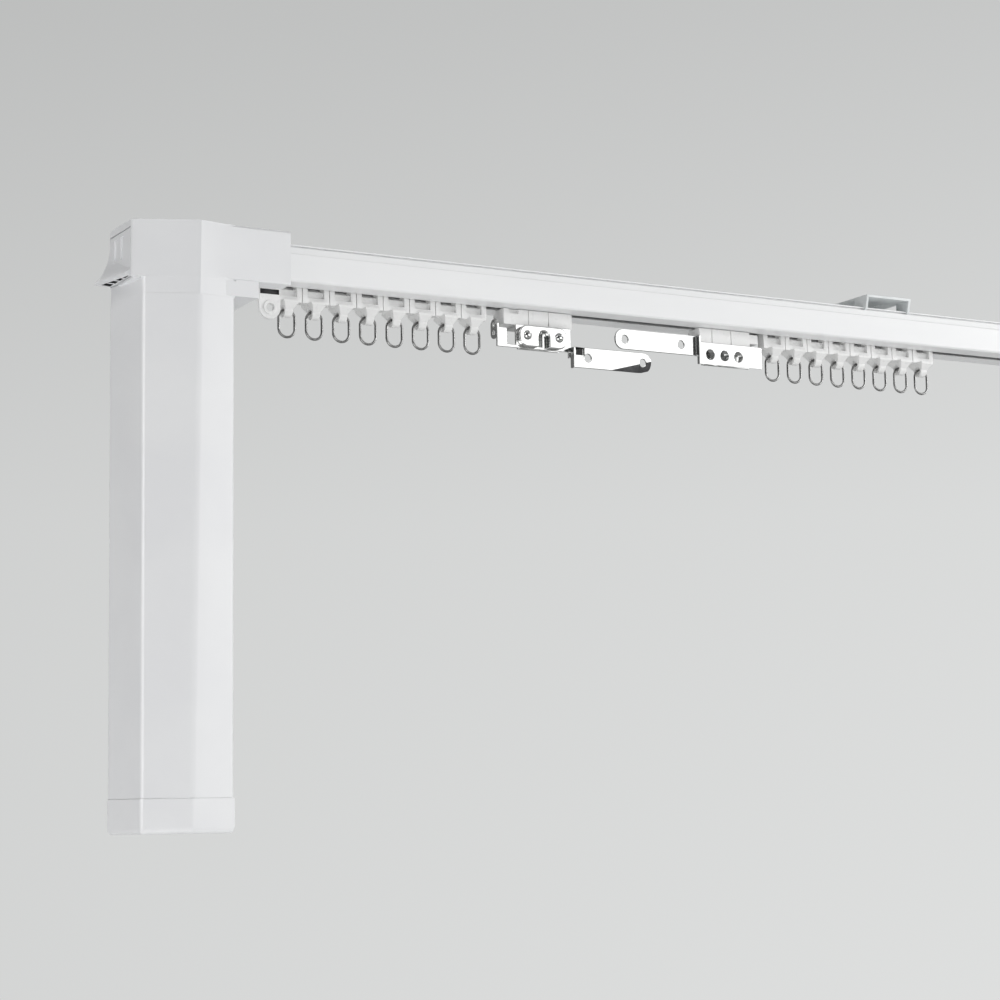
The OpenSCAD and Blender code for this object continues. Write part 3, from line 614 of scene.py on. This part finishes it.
# %% Belt
TOOTH_SHARES = (0.45, 0.28, 0.96)
TOOTH_REACH = 0.55
belt_inputs = {
    "Length": "Float", "Gauge": "Float", "Wide": "Float", "Thick": "Float", "Pitch": "Float",
    "Centre": "Vector", "Finish": "Material",
}
belt_tree, given, result = new_tree("belt", belt_inputs)
wanted = given.outputs
loop = rounded_loop(belt_tree, wanted["Length"], wanted["Gauge"], wanted["Gauge"], 20)
links = {"Width": wanted["Thick"], "Height": wanted["Wide"]}
band = step(belt_tree, "GeometryNodeCurvePrimitiveQuadrilateral", links)
swept = sweep(belt_tree, loop, band)
links = {"Curve": loop, "Length": wanted["Pitch"]}
beads = step(belt_tree, "GeometryNodeCurveToPoints", links, mode="LENGTH")
along = beads.outputs["Tangent"]
links = {"X": wanted["Pitch"], "Y": wanted["Thick"], "Z": wanted["Wide"]}
whole = step(belt_tree, "ShaderNodeCombineXYZ", links)
part = step(belt_tree, "ShaderNodeVectorMath", {0: whole.outputs[0], 1: TOOTH_SHARES}, operation="MULTIPLY")
tooth = step(belt_tree, "GeometryNodeMeshCube", {"Size": part.outputs[0]})
turn = step(belt_tree, "FunctionNodeAlignRotationToVector", {"Vector": along}, axis="X", pivot_axis="Z")
inward = step(belt_tree, "ShaderNodeVectorMath", {0: (0, 0, 1), 1: along}, operation="CROSS_PRODUCT")
links = {0: inward.outputs[0], "Scale": maths(belt_tree, "MULTIPLY", wanted["Thick"], TOOTH_REACH)}
shift = step(belt_tree, "ShaderNodeVectorMath", links, operation="SCALE")
links = {"Geometry": beads.outputs["Points"], "Offset": shift.outputs[0]}
moved = step(belt_tree, "GeometryNodeSetPosition", links)
links = {"Points": moved.outputs["Geometry"], "Instance": tooth.outputs["Mesh"]}
links["Rotation"] = turn.outputs["Rotation"]
teeth = step(belt_tree, "GeometryNodeInstanceOnPoints", links)
both = step(belt_tree, "GeometryNodeJoinGeometry", {})
belt_tree.links.new(swept, both.inputs["Geometry"])
belt_tree.links.new(teeth.outputs["Instances"], both.inputs["Geometry"])
links = {"Geometry": both.outputs["Geometry"], "Translation": wanted["Centre"]}
stood = step(belt_tree, "GeometryNodeTransform", links)
close_tree(belt_tree, stood.outputs["Geometry"], given, result)
low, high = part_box("drive_belt")
size = high - low
BELT_THICK, BELT_PITCH = 0.0014, 0.0036
sizes = {
    "Length": size.x - BELT_THICK, "Gauge": size.y - BELT_THICK, "Wide": size.z, "Thick": BELT_THICK,
    "Pitch": BELT_PITCH, "Centre": (low + high) / 2, "Finish": finishes["belt"],
}
belt = stand_in(grown(belt_tree, "drive_belt_toothed", sizes), "drive_belt")
print("belt", len(belt.data.polygons), "faces")
